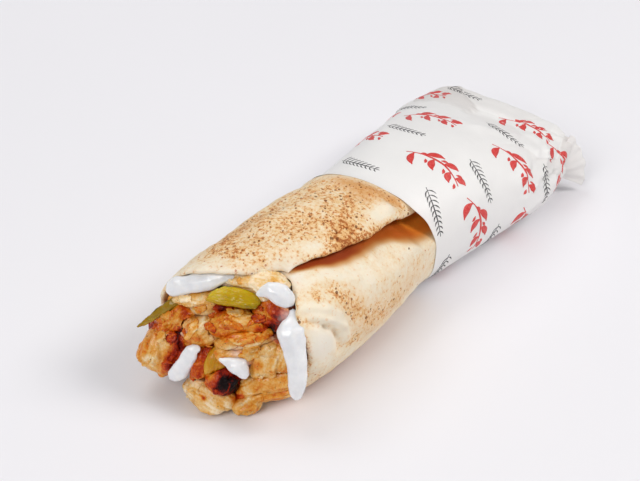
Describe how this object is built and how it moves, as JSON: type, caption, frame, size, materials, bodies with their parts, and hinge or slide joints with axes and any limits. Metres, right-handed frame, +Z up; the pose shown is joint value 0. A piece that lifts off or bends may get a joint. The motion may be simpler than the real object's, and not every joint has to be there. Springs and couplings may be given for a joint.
{
  "type": "doner kebab sandwich",
  "caption": "Chicken doner wrap lying on its side: flatbread rolled around sliced grilled chicken, pickles and white sauce, its back half in a folded white paper sleeve.",
  "frame": {"origin": "centre of the bounding box, at its base, on the surface that the wrap lies on", "axes": "+Y along the wrap from its open mouth to the folded end of the paper, +Z up, +X across the wrap, to the right when looking into the roll from its mouth"},
  "size_m": [0.0832, 0.2196, 0.0573],
  "materials": {
    "bread": "matt toasted flatbread",
    "paper": "thin white greaseproof paper",
    "filling": "moist cooked filling",
    "sauce": "glossy white garlic sauce",
    "pickle": "wet pickled cucumber",
    "chicken": "moist pale chicken",
    "chicken_browned": "browned, oily chicken",
    "chicken_charred": "charred chicken crust"
  },
  "bodies": {
    "root": {"flatbread": "bread", "paper_sleeve": "paper", "filling_core": "filling", "sauce_top_left": "sauce", "sauce_top_right": "sauce", "sauce_drip": "sauce", "sauce_lower_left": "sauce", "sauce_centre": "sauce", "pickle_spear": "pickle", "pickle_slice": "pickle", "pickle_wedge": "pickle", "chicken_crown": "chicken", "chicken_shelf": "chicken", "chicken_flake": "chicken_browned", "chicken_crust": "chicken_browned", "chicken_lobe": "chicken_browned", "chicken_rim": "chicken_browned", "chicken_cube": "chicken", "chicken_slab": "chicken", "chicken_band_top": "chicken_browned", "chicken_band_mid": "chicken", "chicken_band_low": "chicken", "chicken_sliver": "chicken_browned", "chicken_cheek": "chicken", "chicken_fold": "chicken", "chicken_fold_low": "chicken", "chicken_heel": "chicken_browned", "chicken_base": "chicken", "chicken_char": "chicken_charred"}
  },
  "joints": []
}
